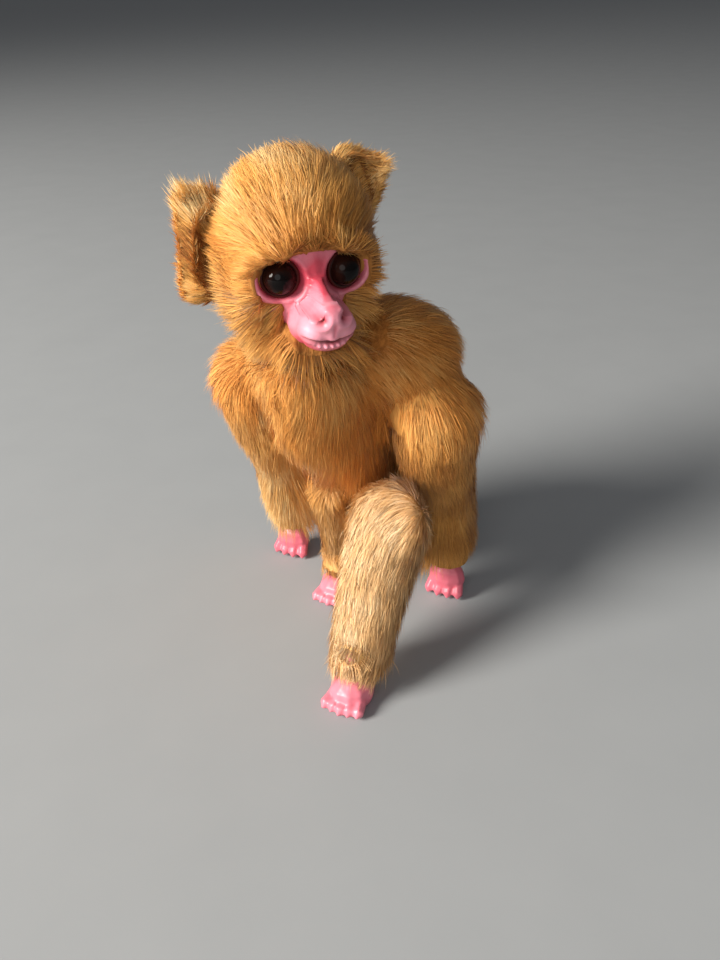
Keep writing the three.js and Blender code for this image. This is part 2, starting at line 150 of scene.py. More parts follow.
def keep_mass(piece):
    """Deletes every loose island except the widest one."""
    shell = bmesh.new()
    shell.from_mesh(piece.data)
    shell.verts.ensure_lookup_table()
    left, islands = set(shell.verts), []
    while left:
        todo = [left.pop()]
        island = []
        while todo:
            vert = todo.pop()
            island.append(vert)
            for edge in vert.link_edges:
                other = edge.other_vert(vert)
                if other in left:
                    left.remove(other)
                    todo.append(other)
        islands.append(island)
    islands.sort(key=lambda island: max(v.co.z for v in island) - min(v.co.z for v in island))
    bmesh.ops.delete(shell, geom=[v for island in islands[:-1] for v in island], context="VERTS")
    shell.to_mesh(piece.data)
    shell.free()
    piece.data.update()


torso_hide = skinned(
    "torso_hide",
    ["chest_pelt", "back_pelt", "torso_front_shell", "torso_back_shell"],
    grain=0.9 * MM, passes=10, swell=-2.2 * MM)
keep_mass(torso_hide)
hide_points = places(torso_hide.data)
seat_lift = 0.5 * MM
hide_points[:, 2] = np.maximum(hide_points[:, 2], seat_lift)
moved_to(torso_hide.data, hide_points)
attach(torso_hide, "torso")
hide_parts("chest_pelt", "back_pelt")


def group_of(name, inputs, outputs):
    """An empty shader node group with the named inputs and outputs."""
    tree = bpy.data.node_groups.new(name, "ShaderNodeTree")
    for label, kind, value in inputs:
        socket = tree.interface.new_socket(label, in_out="INPUT", socket_type=kind)
        socket.default_value = value
    for label, kind in outputs:
        tree.interface.new_socket(label, in_out="OUTPUT", socket_type=kind)
    return tree, tree.nodes.new("NodeGroupInput"), tree.nodes.new("NodeGroupOutput")


def node(tree, kind, values=(), **settings):
    """A new node with its settings and its unlinked input values."""
    made = tree.nodes.new("ShaderNode" + kind)
    for key, value in settings.items():
        setattr(made, key, value)
    for key, value in dict(values).items():
        made.inputs[key].default_value = value
    return made


def feed(tree, sockets, values):
    """Links or sets each socket, as its value is a socket or a constant."""
    for socket, value in zip(sockets, values):
        if isinstance(value, bpy.types.NodeSocket):
            tree.links.new(value, socket)
        else:
            socket.default_value = value


def mixed(tree, factor, first, second, blend="MIX"):
    """A colour mix; each argument is a socket or a value."""
    made = node(tree, "Mix", data_type="RGBA", blend_type=blend)
    feed(tree, (made.inputs[0], made.inputs[6], made.inputs[7]), (factor, first, second))
    return made.outputs[2]


def sum_of(tree, first, second, operation="ADD"):
    """A number from two sockets or values."""
    made = node(tree, "Math", operation=operation)
    feed(tree, made.inputs, (first, second))
    return made.outputs[0]


def ranged(tree, value, low, high, start=0.0, end=1.0):
    """A number mapped from low and high to start and end."""
    made = node(tree, "MapRange", {"From Min": low, "From Max": high, "To Min": start, "To Max": end})
    tree.links.new(value, made.inputs["Value"])
    return made.outputs[0]


# Hair colour: streaked by tone from a dark to a pale hair and bleached at the tip, with painted
# shade of the coat's depth darkening it towards the root. Tone and Along come from each hair;
# blotches change it slowly over the hide.
coat_tree, coat_in, coat_out = group_of(
    "hair_colour",
    [("Dark", "NodeSocketColor", (0.2, 0.07, 0.01, 1)), ("Body", "NodeSocketColor", (0.5, 0.2, 0.05, 1)),
     ("Pale", "NodeSocketColor", (0.8, 0.5, 0.2, 1)), ("Root painted shade", "NodeSocketFloat", 0.5),
     ("Tone", "NodeSocketFloat", 0.5), ("Along", "NodeSocketFloat", 0.5),
     ("Blotch scale", "NodeSocketFloat", 90.0), ("Blotch strength", "NodeSocketFloat", 0.25)],
    [("Color", "NodeSocketColor"), ("Roughness", "NodeSocketFloat")])
where = node(coat_tree, "TexCoord")
blotch = node(coat_tree, "TexNoise", {"Detail": 3.0, "Roughness": 0.6})
coat_tree.links.new(where.outputs["Object"], blotch.inputs["Vector"])
coat_tree.links.new(coat_in.outputs["Blotch scale"], blotch.inputs["Scale"])
offset = sum_of(coat_tree, blotch.outputs[0], 0.5, "SUBTRACT")
offset = sum_of(coat_tree, offset, coat_in.outputs["Blotch strength"], "MULTIPLY")
tone = sum_of(coat_tree, coat_in.outputs["Tone"], offset)
to_body, to_pale = ranged(coat_tree, tone, 0.0, 0.5), ranged(coat_tree, tone, 0.5, 1.0)
lower = mixed(coat_tree, to_body, coat_in.outputs["Dark"], coat_in.outputs["Body"])
hair = mixed(coat_tree, to_pale, lower, coat_in.outputs["Pale"])
# Painted shade: each hair is darkened towards its root over the lower half of its length.
from_root = ranged(coat_tree, coat_in.outputs["Along"], 0.0, 0.55, 1.0, 0.0)
root_share = sum_of(coat_tree, from_root, coat_in.outputs["Root painted shade"], "MULTIPLY")
root_hair = mixed(coat_tree, 1.0, hair, coat_in.outputs["Dark"], "MULTIPLY")
rooted = mixed(coat_tree, root_share, hair, root_hair)
coat_tree.links.new(rooted, coat_out.inputs["Color"])
dull = ranged(coat_tree, coat_in.outputs["Along"], 0.0, 1.0, 0.62, 0.46)
coat_tree.links.new(dull, coat_out.inputs["Roughness"])

# Underfur: fine streaks lying down the hide, with tan leather between them.
under_tree, under_in, under_out = group_of(
    "underfur",
    [("Leather", "NodeSocketColor", (0.3, 0.14, 0.06, 1)), ("Fur", "NodeSocketColor", (0.5, 0.2, 0.05, 1)),
     ("Streaks", "NodeSocketFloat", 900.0)],
    [("Color", "NodeSocketColor"), ("Roughness", "NodeSocketFloat"), ("Height", "NodeSocketFloat")])
where = node(under_tree, "TexCoord")
lay = node(under_tree, "Mapping", {"Scale": (1.0, 1.0, 0.14)})
under_tree.links.new(where.outputs["Object"], lay.inputs["Vector"])
streak = node(under_tree, "TexNoise", {"Detail": 4.0, "Roughness": 0.7})
under_tree.links.new(lay.outputs[0], streak.inputs["Vector"])
under_tree.links.new(under_in.outputs["Streaks"], streak.inputs["Scale"])
covered = ranged(under_tree, streak.outputs[0], 0.35, 0.6)
furred = mixed(under_tree, covered, under_in.outputs["Leather"], under_in.outputs["Fur"])
under_tree.links.new(furred, under_out.inputs["Color"])
under_rough = ranged(under_tree, streak.outputs[0], 0.0, 1.0, 0.95, 0.75)
under_tree.links.new(under_rough, under_out.inputs["Roughness"])
under_tree.links.new(streak.outputs[0], under_out.inputs["Height"])


def finish_with(name, tree, values, sheen=0.0, specular=0.5, coat=0.0, coat_roughness=0.03,
                bump=0.0, bump_depth=0.1 * MM):
    """A Principled material fed by one node group's Color, Roughness and, for bump, Height."""
    made = bpy.data.materials.new(name)
    made.use_nodes = True
    links, held = made.node_tree.links, made.node_tree
    shader = held.nodes["Principled BSDF"]
    shader.inputs["Sheen Weight"].default_value = sheen
    shader.inputs["Sheen Roughness"].default_value = 0.4
    shader.inputs["Specular IOR Level"].default_value = specular
    shader.inputs["Coat Weight"].default_value = coat
    shader.inputs["Coat Roughness"].default_value = coat_roughness
    effect = held.nodes.new("ShaderNodeGroup")
    effect.node_tree = tree
    for key, value in values.items():
        if isinstance(value, str):
            held_by = node(held, "Attribute", attribute_name=value)
            links.new(held_by.outputs["Fac"], effect.inputs[key])
        else:
            effect.inputs[key].default_value = value
    links.new(effect.outputs["Color"], shader.inputs["Base Color"])
    links.new(effect.outputs["Roughness"], shader.inputs["Roughness"])
    if bump:
        relief = node(held, "Bump", {"Strength": bump, "Distance": bump_depth})
        links.new(effect.outputs["Height"], relief.inputs["Height"])
        links.new(relief.outputs[0], shader.inputs["Normal"])
    return made


def hide_finish(name, leather, fur):
    return finish_with(name, under_tree, {"Leather": leather, "Fur": fur},
                       specular=0.2, bump=0.6, bump_depth=0.3 * MM)


torso_hide.data.materials.clear()
torso_hide.data.materials.append(
    hide_finish("amber_underfur", (0.32, 0.11, 0.022, 1), (0.58, 0.22, 0.045, 1)))

# ---- Torso coat -------------------------------------------------------------------------
# Amber guard hairs lie down the chest and back in damp-looking locks, 3.5 mm long at the seat
# and 8.5 mm on the trunk. A fringe of the longest hairs hangs off the chest over the thighs.
def scattered(piece, count, seed, wanted):
    """Random roots on the faces of a hide that wanted(points, normals) keeps."""
    draw = np.random.default_rng(seed)
    mesh = piece.data
    mesh.calc_loop_triangles()
    corners = np.zeros(len(mesh.loop_triangles) * 3, np.int64)
    mesh.loop_triangles.foreach_get("vertices", corners)
    corners = corners.reshape(-1, 3)
    points, normals = places(mesh), places(mesh, "normal")
    a, b, c = (points[corners[:, k]] for k in range(3))
    area = np.linalg.norm(np.cross(b - a, c - a), axis=1)
    centre = (a + b + c) / 3
    facing = unit(normals[corners].sum(axis=1))
    area = area * wanted(centre, facing)
    chosen = draw.choice(len(corners), count, p=area / area.sum())
    first, second = draw.random((2, count))
    flip = first + second > 1
    first, second = np.where(flip, 1 - first, first), np.where(flip, 1 - second, second)
    share = np.stack([1 - first - second, first, second], axis=1)[:, :, None]
    picked = corners[chosen]
    return (points[picked] * share).sum(axis=1), unit((normals[picked] * share).sum(axis=1))


def ripple(points, size, seed):
    """Smooth noise from about -1 to 1 with waves of the given size."""
    shift = Vector((seed * 7.3, seed * 3.1, seed * 5.7))
    return np.array([noise.noise(Vector(p) / size + shift) for p in points.tolist()])


# A hair is two four-sided faces and a pointed one: seven points and eleven face corners.
HAIR_POINTS = 7
HAIR_CORNERS = (0, 1, 3, 2, 2, 3, 5, 4, 4, 5, 6)


def hairs(name, roots, normals, flow, length, lift, tone, seed, width=0.15 * MM,
          clump=0.55, clump_area=5.0, stray=0.16, sag=0.3, swirl=0.35):
    """Tapered hairs of three segments each, combed along flow and drawn together in locks."""
    draw = np.random.default_rng(seed)
    count = len(roots)
    along = unit(flow - (flow * normals).sum(1, keepdims=True) * normals)
    across = np.cross(normals, along)
    turn = (swirl * ripple(roots, 9 * MM, seed) + 0.5 * swirl * ripple(roots, 3.5 * MM, seed + 1)
            + stray * draw.normal(size=count))[:, None]
    along = along * np.cos(turn) + across * np.sin(turn)
    rise = (lift + 0.12 * draw.normal(size=count)).clip(0.03, 1.4)
    reach = length * (1 + 0.18 * draw.normal(size=count)).clip(0.5, 1.6)
    knots = np.zeros((count, 4, 3))
    knots[:, 0] = roots - normals * 0.3 * MM
    down = np.array((0, 0, -1.0))
    for k in (1, 2, 3):
        angle = (rise * (1.25 - 0.3 * k))[:, None]
        step = unit(along * np.cos(angle) + normals * np.sin(angle) + down * sag * (k - 1) / 2)
        knots[:, k] = knots[:, k - 1] + step * (reach / 3)[:, None]
    locks = draw.choice(count, max(8, int(count / clump_area)), replace=False)
    tree = kdtree.KDTree(len(locks))
    for index, lock in enumerate(locks.tolist()):
        tree.insert(roots[lock], index)
    tree.balance()
    near = locks[np.array([tree.find(p)[1] for p in roots.tolist()])]
    grip = clump * (0.45 + 0.55 * draw.random(count))[:, None]
    for k, share in ((1, 0.22), (2, 0.65), (3, 1.0)):
        knots[:, k] += (knots[near, k] - knots[:, k]) * grip * share
    floor = 0.25 * MM
    knots[:, 1:, 2] = np.maximum(knots[:, 1:, 2], floor)
    heading = unit(np.diff(knots, axis=1, append=(2 * knots[:, 3:] - knots[:, 2:3])))
    roll = (0.5 * draw.normal(size=count))[:, None, None]
    flat = normals[:, None, :] + 0 * heading
    side = unit(np.cross(heading, flat))
    face = unit(np.cross(side, heading))
    side = side * np.cos(roll) + face * np.sin(roll)
    thick = width * (0.75 + 0.5 * draw.random(count))[:, None, None]
    taper = np.array((1.0, 0.9, 0.6))[None, :, None] * 0.5
    left = knots[:, :3] - side[:, :3] * thick * taper
    right = knots[:, :3] + side[:, :3] * thick * taper
    points = np.concatenate([np.stack([left, right], axis=2).reshape(count, 6, 3), knots[:, 3:]], axis=1)
    first = np.arange(count)[:, None]
    corners = (first * HAIR_POINTS + np.array(HAIR_CORNERS)).ravel()
    starts = (first * len(HAIR_CORNERS) + np.array((0, 4, 8))).ravel()
    mesh = bpy.data.meshes.new(name)
    mesh.vertices.add(count * HAIR_POINTS)
    mesh.vertices.foreach_set("co", points.ravel())
    mesh.loops.add(len(corners))
    mesh.loops.foreach_set("vertex_index", corners)
    mesh.polygons.add(count * 3)
    mesh.polygons.foreach_set("loop_start", starts)
    mesh.update(calc_edges=True)
    lean = (0.35 * draw.normal(size=count))[:, None]
    shade = unit(normals + across * lean + 0.25 * along)
    shade = np.repeat(shade, HAIR_POINTS, axis=0)
    mesh.shade_smooth()
    mesh.normals_split_custom_set_from_vertices(shade.tolist())
    lock_tone = draw.normal(size=count)[near]
    mixed_tone = tone + 0.06 * lock_tone + 0.07 * draw.normal(size=count)
    for label, values in (("tone", np.repeat(mixed_tone, HAIR_POINTS)),
                          ("along", np.tile((0, 0, 0.33, 0.33, 0.66, 0.66, 1.0), count))):
        held = mesh.attributes.new(label, "FLOAT", "POINT")
        held.data.foreach_set("value", values.astype(np.float32))
    return piece_of(name, mesh)


def coat_finish(name, dark, body, pale, painted_root_shade=0.4, blotch=(90.0, 0.3)):
    return finish_with(
        name, coat_tree,
        {"Dark": dark, "Body": body, "Pale": pale, "Root painted shade": painted_root_shade,
         "Blotch scale": blotch[0], "Blotch strength": blotch[1], "Tone": "tone", "Along": "along"},
        sheen=0.08, specular=0.25)


def dressed(piece, material, body):
    """Gives a piece its finish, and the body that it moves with."""
    piece.data.materials.clear()
    piece.data.materials.append(material)
    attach(piece, body)
    return piece


amber_coat = coat_finish("amber_hair", (0.36, 0.105, 0.016, 1), (0.76, 0.31, 0.062, 1), (0.93, 0.58, 0.20, 1))
neck = joint_at["neck_turn"]
waist = (joint_at["hip_right"] + joint_at["hip_left"]) / 2


def torso_core(points):
    """The point of the leaning trunk line level with each point."""
    share = ((points[:, 2] - waist[2]) / (neck[2] - waist[2])).clip(0, 1)[:, None]
    return waist + (neck - waist) * share


def torso_outside(points, normals):
    outward = unit((points - torso_core(points)) * (1, 1, 0.3))
    showing = (normals * outward).sum(axis=1) > 0.05
    raised = points[:, 2] > 1.5 * MM
    return showing & raised


hem_height = 46 * MM
hem_width = 6 * MM
for name, count, seed, wanted in (
        ("chest_coat", 38000, 11, lambda p, n: torso_outside(p, n) & (n[:, 1] < 0)),
        ("back_coat", 38000, 12, lambda p, n: torso_outside(p, n) & (n[:, 1] >= 0))):
    roots, normals = scattered(torso_hide, count, seed, wanted)
    outward = unit((roots - torso_core(roots)) * (1, 1, 0))
    high = eased(roots[:, 2], 52 * MM, 76 * MM)[:, None]
    flow = np.array((0, 0, -1.0)) * (1 - 0.6 * high) + outward * 0.9 * high
    lower = eased(roots[:, 2], 0, 30 * MM)
    hem = np.exp(-((roots[:, 2] - hem_height) / hem_width) ** 2) * eased(-roots[:, 1], 8 * MM, 18 * MM)
    length = (3.5 + 5.0 * lower + 9.0 * hem) * MM
    lift = 0.38 + 0.12 * high[:, 0]
    tone = 0.57 + 0.26 * ripple(roots * (1, 1, 0.4), 5 * MM, seed) + 0.12 * high[:, 0]
    coat = hairs(name, roots, normals, flow, length, lift, tone, seed, sag=0.35, clump=0.7, clump_area=8)
    dressed(coat, amber_coat, "torso")

# ---- Mantle -----------------------------------------------------------------------------
# The back pelt is cut wide at the top, and its two flaps lie over the round shoulders like a
# short cape. Only the upper edge is glued, so the arms swing under the flaps.
mantle_edge = 50 * MM
left_hump = (joint_at["shoulder_left"] + neck) / 2 + np.array((1.5, 10.5, 3.8)) * MM
right_slope = (joint_at["shoulder_right"] + neck) / 2 + np.array((1.0, 6.0, -2.0)) * MM
mantle = skinned(
    "mantle_hide",
    ["chest_pelt", "back_pelt", "torso_front_shell", "torso_back_shell", "arm_right_pelt", "arm_left_pelt",
     "arm_right_core", "arm_left_core"],
    grain=1.3 * MM, passes=22, swell=-1.6 * MM,
    stuffing=[(left_hump, (17 * MM, 15 * MM, 12.5 * MM)),
              (right_slope, (12 * MM, 13 * MM, 10 * MM))])
keep_mass(mantle)
cape = bmesh.new()
cape.from_mesh(mantle.data)
bmesh.ops.delete(cape, geom=[v for v in cape.verts if v.co.z < mantle_edge], context="VERTS")
cape.to_mesh(mantle.data)
cape.free()
mantle.data.update()
dressed(mantle, torso_hide.data.materials[0], "torso")


def on_mantle(points, normals):
    outward = unit((points - torso_core(points)) * (1, 1, 0.6))
    return ((normals * outward).sum(axis=1) > -0.2) & (points[:, 2] > mantle_edge + 1 * MM)


roots, normals = scattered(mantle, 39000, 15, on_mantle)
outward = unit((roots - torso_core(roots)) * (1, 1, 0))
high = eased(roots[:, 2], 60 * MM, 76 * MM)[:, None]
flow = np.array((0, 0, -1.0)) * (1 - 0.5 * high) + outward * 0.9 * high
length = (8.0 - 1.5 * high[:, 0]) * MM
tone = 0.50 + 0.26 * ripple(roots * (1, 1, 0.4), 6 * MM, 15) + 0.10 * high[:, 0]
cape_coat = hairs("mantle_coat", roots, normals, flow, length, 0.34, tone, 15, sag=0.3, clump=0.65,
                  clump_area=8)
dressed(cape_coat, amber_coat, "torso")

# ---- Head hide and coat -----------------------------------------------------------------
# The head's pelt is a crown piece and a nape piece glued over the moulded skull. Its golden
# hairs, 4 to 9 mm long, fan out from the face, lie back over the crown and fall at the cheeks.
eye_line = unit(middle("eye_left") - middle("eye_right"))
facing = np.cross(eye_line, (0, 0, 1.0))
upward = np.array((0, 0, 1.0))


def head_space(points):
    """Points measured from the neck joint: across to the left eye, back, and up."""
    offset = points - neck
    return np.stack([offset @ eye_line, -(offset @ facing), offset @ upward], axis=1)


def from_head(points):
    points = np.asarray(points, float)
    return neck + points[..., :1] * eye_line - points[..., 1:2] * facing + points[..., 2:3] * upward


def head_way(directions):
    return from_head(directions) - neck


skull = (middle("crown_pelt") + middle("nape_pelt")) / 2
eye_left_at = head_space(middle("eye_left")[None])[0]
eye_x, eye_y, eye_z = eye_left_at
nose_z = eye_z - 5.2 * MM


BAND_HALF_WIDTH, BAND_HALF_HEIGHT = 11.8 * MM, 4.8 * MM
SNOUT_HALF_WIDTH, SNOUT_HALF_HEIGHT = 6.2 * MM, 8.0 * MM


def bareness(local):
    """Below 1 inside the bare eye band and snout, above 1 where the head is furred."""
    across, up = local[:, 0], local[:, 2]
    band_up, snout_up = up - eye_z + 0.3 * MM, up - nose_z + 1.9 * MM
    band = np.abs(across / BAND_HALF_WIDTH) ** 3 + np.abs(band_up / BAND_HALF_HEIGHT) ** 3
    snout = np.abs(across / SNOUT_HALF_WIDTH) ** 4 + np.abs(snout_up / SNOUT_HALF_HEIGHT) ** 4
    behind = 9.0 * eased(local[:, 1], -9 * MM, -5 * MM)
    return np.minimum(band, snout) + behind


cheeks_and_throat = (((9.6, -9.0, 13.4), (4.6, 4.6, 5.5)), ((-9.6, -9.0, 13.4), (4.6, 4.6, 5.5)),
                     ((0, -12.5, 6.8), (8.0, 8.0, 3.2)))
head_hide = skinned(
    "head_hide",
    ["crown_pelt", "nape_pelt", "head_front_shell", "head_back_shell", "face_mask", "eye_right", "eye_left"],
    grain=0.8 * MM, passes=8,
    stuffing=[(from_head(np.array(centre) * MM), np.array(half) * MM) for centre, half in cheeks_and_throat])
keep_mass(head_hide)
hide_points, hide_normals = places(head_hide.data), places(head_hide.data, "normal")
bare = bareness(head_space(hide_points))
from_below = hide_points[:, 2] - hide_points[:, 2].min()
at_neck = 1 - eased(from_below, 2 * MM, 6 * MM)
fur_depth = 2.5
face_recess = 5.5
sunk = 0.2 - fur_depth * eased(bare, 1.3, 3.5) * (1 - 0.85 * at_neck)
recess = face_recess * (1 - eased(bare, 0.9, 1.02))
offset = (hide_normals * sunk[:, None] - unit(hide_points - skull) * recess[:, None]) * MM
neck_face = (from_below < 1.5 * MM) & (hide_normals[:, 2] < -0.4)
offset[neck_face, 2] = 0
moved_to(head_hide.data, hide_points + offset)
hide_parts("crown_pelt", "nape_pelt")
dressed(head_hide, hide_finish("golden_underfur", (0.24, 0.085, 0.018, 1), (0.44, 0.185, 0.045, 1)),
        "head")
golden_coat = coat_finish("golden_hair", (0.46, 0.15, 0.020, 1), (0.78, 0.39, 0.095, 1),
                          (0.90, 0.64, 0.31, 1))
face_middle = np.array((0, eye_y, eye_z - 4.5 * MM))


def head_outside(points, normals):
    bare = bareness(head_space(points))
    turned_out = (normals * unit(points - skull)).sum(axis=1)
    return (turned_out > np.where(bare < 3, -0.35, 0.1)) & (bare > 0.97)


divide = 4 * MM
for name, count, seed, behind in (("crown_coat", 38000, 21, False), ("nape_coat", 30000, 22, True)):
    def wanted(points, normals):
        back = head_space(points)[:, 1]
        return head_outside(points, normals) & ((back > divide) == behind)

    roots, normals = scattered(head_hide, count, seed, wanted)
    place = head_space(roots)
    away = place - face_middle
    front = 1 - eased(place[:, 1], -9 * MM, 9 * MM)[:, None]
    top = eased(place[:, 2], 26 * MM, 40 * MM)[:, None]
    radial = unit(away * (1, 0, 1)) + np.array((0, 0.55, 0))
    swept = np.array((-0.25, 1.0, 0.1)) * top + np.array((0, 0.45, -1.0)) * (1 - top)
    flow = head_way(radial * front + swept * (1 - front))
    cheek = eased(-place[:, 2], -20 * MM, -6 * MM)
    near_face = 1 - eased(bareness(place), 1.2, 3.0)
    brow = 1 - eased(bareness(place), 1.2, 14.0)
    length = (7.0 + 1.8 * cheek - 3.0 * near_face * (1 - 0.6 * cheek)) * MM
    lift = 0.36 + 0.20 * cheek - 0.16 * near_face
    pale = 0.26 * top[:, 0] + 0.26 * cheek
    below_nose = 1 - eased(place[:, 2], nose_z - 7 * MM, nose_z - 3 * MM)
    chin = (1 - eased(np.abs(place[:, 0]), 5 * MM, 10 * MM)) * below_nose
    streaks = ripple(roots * (1, 1, 0.45), 5 * MM, seed)
    tone = 0.42 + pale + 0.34 * streaks - 0.14 * brow * (1 - cheek) - 0.30 * chin * front[:, 0]
    coat = hairs(name, roots, normals, flow, length, lift, tone, seed, sag=0.22, swirl=0.7, clump=0.65,
                 clump_area=9)
    dressed(coat, golden_coat, "head")

# ---- Ears ---------------------------------------------------------------------------------
# Each ear is a small cup of pelt folded over and glued in a slit of the crown. Its rim has
# longer, paler hairs than its foot, and the hollow of the right one is browner.
ear_coat = coat_finish("ear_hair", (0.34, 0.10, 0.016, 1), (0.82, 0.42, 0.10, 1), (0.97, 0.75, 0.38, 1))
for side, sign in (("right", -1), ("left", 1)):
    on_right = sign < 0
    cup = skinned(f"ear_hide_{side}", [f"ear_{side}"], grain=0.5 * MM, passes=6, swell=-0.9 * MM)
    place = head_space(places(cup.data))
    foot_at = np.array((sign * np.abs(place[:, 0]).min(), place[:, 1].mean(), place[:, 2].mean() - 3 * MM))
    tip_way = unit(np.array((0.62, 0.0, 0.78) if on_right else (0.92, 0.0, 0.38)) * (sign, 1, 1))
    side_way = np.cross(tip_way, (0, 1.0, 0))
    tip_draw = (4.5 if on_right else -1.0) * MM
    reach = (place - foot_at) @ tip_way
    share = (reach / reach.max()).clip(0, 1)[:, None]
    off = ((place - foot_at) @ side_way)[:, None] * side_way
    narrowed = 0.8 * share ** 1.6 if on_right else 0.5 * share ** 2
    place = place - off * narrowed + tip_way * tip_draw * share ** 2
    place = place + off * (0.6 if on_right else 0.0)
    place[:, 0] -= sign * (4.8 if on_right else 2.6) * MM
    place[:, 2] += (0.0 if on_right else 1.8) * MM
    moved_to(cup.data, from_head(place))
    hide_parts(f"ear_{side}")
    dressed(cup, hide_finish(f"ear_underfur_{side}", (0.16, 0.055, 0.018, 1), (0.36, 0.15, 0.04, 1)),
            "head")
    seed = 31 + (sign > 0)
    roots, normals = scattered(cup, 9000, seed, lambda p, n: np.ones(len(p), bool))
    place = head_space(roots)
    away = unit(place - foot_at)
    flow = head_way(0.6 * away + tip_way)
    rim = eased((place - foot_at) @ tip_way, 5 * MM, 13 * MM)
    off_axis = np.abs((place - foot_at) @ side_way)
    inside = eased((normals * facing).sum(1), 0.1, 0.7) * (1 - eased(off_axis, 2.5 * MM, 5 * MM))
    length = (3.0 + 3.6 * rim * (1 - 0.5 * inside)) * MM
    tone = 0.58 + 0.2 * rim - 0.46 * inside * (1 - rim) * on_right + 0.12 * ripple(roots, 4 * MM, seed)
    coat = hairs(f"ear_coat_{side}", roots, normals, flow, length, 0.3 + 0.1 * rim, tone, seed,
                 sag=0.1, clump=0.6)
    dressed(coat, ear_coat, "head")

# ---- Arms -----------------------------------------------------------------------------------
# A sleeve of pelt is pulled over each moulded arm and glued at the wrist. The hair lies down
# the arm, about 7 mm long and up to 11 mm inside the forearm, and is mottled with brown.
arm_coat = coat_finish("arm_hair", (0.42, 0.15, 0.026, 1), (0.84, 0.42, 0.105, 1), (0.97, 0.72, 0.36, 1),
                       blotch=(140.0, 0.6))


def limb_outside(start, end):
    def wanted(points, normals):
        along = unit(end - start)
        offset = points - start
        outward = unit(offset - (offset @ along)[:, None] * along)
        return ((normals * outward).sum(axis=1) > -0.1) & (points[:, 2] > 1.2 * MM)
    return wanted


for side, sign in (("right", -1), ("left", 1)):
    body = f"arm_{side}"
    sleeve = skinned(f"{body}_hide", [f"{body}_pelt", f"{body}_core"], grain=0.8 * MM, passes=8,
                     swell=-1.5 * MM)
    keep_mass(sleeve)
    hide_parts(f"{body}_pelt")
    dressed(sleeve, hide_finish(f"{body}_underfur", (0.36, 0.15, 0.035, 1), (0.64, 0.31, 0.08, 1)),
            body)
    shoulder = joint_at[f"shoulder_{side}"]
    wrist = middle(f"hand_{side}")
    wrist[2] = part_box(f"hand_{side}")[1].z
    seed = 41 + (sign > 0)
    on_arm = limb_outside(shoulder, wrist)
    roots, normals = scattered(sleeve, 26000, seed,
                               lambda p, n: on_arm(p, n) & (p[:, 2] < mantle_edge + 6 * MM)
                               & (p[:, 2] > wrist[2] + 1.5 * MM))
    drop = (shoulder[2] - roots[:, 2]) / (shoulder[2] - wrist[2])
    flow = (wrist - shoulder) + np.array((sign * 0.004, 0.004, 0))
    flow = np.broadcast_to(flow, roots.shape)
    fore = eased(drop, 0.35, 0.75)
    inner = eased(-sign * normals[:, 0] - 0.4 * normals[:, 1], 0.0, 0.8)
    length = (6.8 + 4.0 * fore * inner - 1.2 * eased(drop, 0.86, 1.0)) * MM
    mottling = ripple(roots * (1, 1, 0.5), 4 * MM, seed)
    # Painted shade: the left arm's hair is darker throughout, on the side away from the key lamp.
    tone = 0.42 + 0.34 * fore * (sign < 0) - 0.16 * (sign > 0) + 0.24 * mottling
    coat = hairs(f"{body}_coat", roots, normals, flow, length, 0.38 + 0.06 * fore + 0.6 * fore * inner,
                 tone, seed, sag=0.25)
    dressed(coat, arm_coat, body)

# ---- Legs -----------------------------------------------------------------------------------
# The legs wear the palest pelt, about 5 mm long on the left and 3.5 mm on the right, where it is
# painted browner as painted shade under the chest. Its hairs part in a whorl at the knee and lie
# down the shin to the ankle.
pale_coat = coat_finish("pale_hair", (0.56, 0.26, 0.065, 1), (0.83, 0.53, 0.25, 1), (0.94, 0.79, 0.55, 1),
                        painted_root_shade=0.3)
for side, sign in (("right", -1), ("left", 1)):
    body = f"leg_{side}"
    sleeve = skinned(f"{body}_hide", [f"{body}_pelt", f"{body}_core"], grain=0.8 * MM, passes=8,
                     swell=(-1.5 if sign > 0 else -2.3) * MM)
    keep_mass(sleeve)
    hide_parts(f"{body}_pelt")
    dressed(sleeve, hide_finish(f"{body}_underfur", (0.52, 0.27, 0.09, 1), (0.78, 0.47, 0.17, 1)),
            body)
    hip = joint_at[f"hip_{side}"]
    skin = places(sleeve.data)
    knee_cap = skin[skin[:, 2] > skin[:, 2].max() - 3 * MM].mean(axis=0)
    knee = knee_cap - np.array((0, 0, 8 * MM))
    ankle = middle(f"foot_{side}")
    ankle[2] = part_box(f"foot_{side}")[1].z
    seed = 51 + (sign > 0)

    def wanted(points, normals):
        thigh = (points - knee) @ unit(hip - knee) > 0
        on_thigh = limb_outside(knee, hip)(points, normals)
        return np.where(thigh, on_thigh, limb_outside(knee, ankle)(points, normals))

    roots, normals = scattered(sleeve, 34000 if sign > 0 else 24000, seed, wanted)
    down_leg = unit(unit(ankle - knee) - unit(hip - knee))
    past_knee = eased((roots - knee) @ down_leg, -6 * MM, 5 * MM)[:, None]
    whorl = knee_cap + np.array((9 * MM, 2 * MM, -3 * MM)) * (sign > 0)
    radial = unit(roots - whorl)
    near = (1 - eased(np.linalg.norm(roots - whorl, axis=1), 5 * MM, 15 * MM))[:, None]
    flow = unit(knee - hip) * (1 - past_knee) + unit(ankle - knee) * past_knee
    flow = flow * (1 - 0.75 * near) + radial * 0.9 * near
    low = eased(roots[:, 2], 6 * MM, 16 * MM)
    length = (5.2 + 0.3 * low - 1.6 * (sign < 0)) * MM
    outer = eased(sign * normals[:, 0], 0.0, 0.9)
    # Painted shade: the right leg's hair is darker throughout, and the outer side of each leg is darker.
    tone = (0.58 + 0.20 * ripple(roots, 4.5 * MM, seed) - 0.24 * outer - 0.45 * (sign < 0)
            - 0.2 * (1 - past_knee[:, 0]))
    coat = hairs(f"{body}_coat", roots, normals, flow, length, 0.44, tone, seed, sag=0.2, clump=0.4)
    dressed(coat, pale_coat, body)

